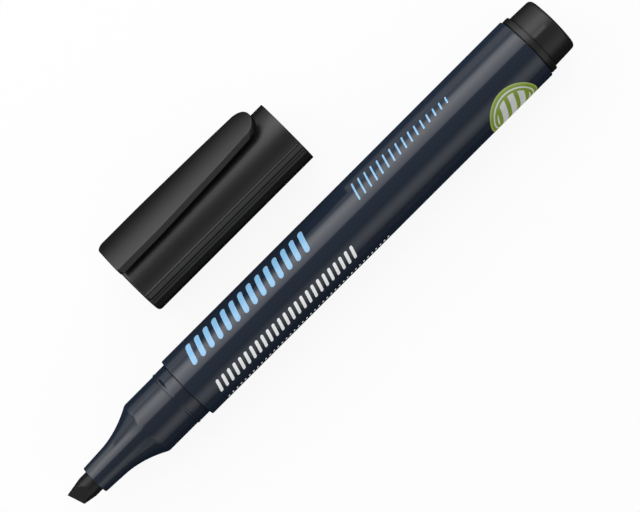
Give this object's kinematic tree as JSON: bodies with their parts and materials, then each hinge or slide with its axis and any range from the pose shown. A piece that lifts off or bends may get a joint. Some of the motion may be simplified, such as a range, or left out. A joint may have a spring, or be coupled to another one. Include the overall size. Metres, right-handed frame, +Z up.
{
  "type": "permanent marker",
  "caption": "Slim permanent marker with a slanted chisel nib, a glossy dark barrel and a black end plug, lying on its side with its clip cap taken off beside it.",
  "frame": {"origin": "on the surface that the marker and its cap lie on, below the middle of the pair", "axes": "+X along the marker from the nib to the plugged end, +Y from the marker to its cap, +Z up"},
  "size_m": [0.136, 0.0398, 0.0176],
  "materials": {
    "barrel_plastic": "smooth glossy dark blue plastic",
    "holder_plastic": "smooth glossy dark blue plastic",
    "nib_felt": "pressed felt soaked with black ink",
    "ink_fibre": "bonded fibre soaked with black ink",
    "wrap_film": "thin milky film",
    "plug_plastic": "satin black plastic",
    "cap_plastic": "satin black plastic",
    "seal_plastic": "soft milky plastic"
  },
  "bodies": {
    "marker": {"barrel": "barrel_plastic", "nib_holder": "holder_plastic", "nib": "nib_felt", "ink_reservoir": "ink_fibre", "reservoir_wrap": "wrap_film", "rear_plug": "plug_plastic"},
    "cap": {"cap_shell": "cap_plastic", "cap_inner_seal": "seal_plastic"},
    "clip": {"cap_clip": "cap_plastic"}
  },
  "joints": [
    {"name": "cap_slide", "type": "slide", "parent": "marker", "child": "cap", "axis": [-1, 0, 0], "range_m": [0, 0.083]},
    {"name": "clip_flex", "type": "hinge", "parent": "cap", "child": "clip", "pos_m": [-0.01955, 0.01651, 0.01422], "axis": [0, -0.7071, 0.7071], "range_deg": [0, 5], "stiffness_Nm_per_rad": 3}
  ]
}
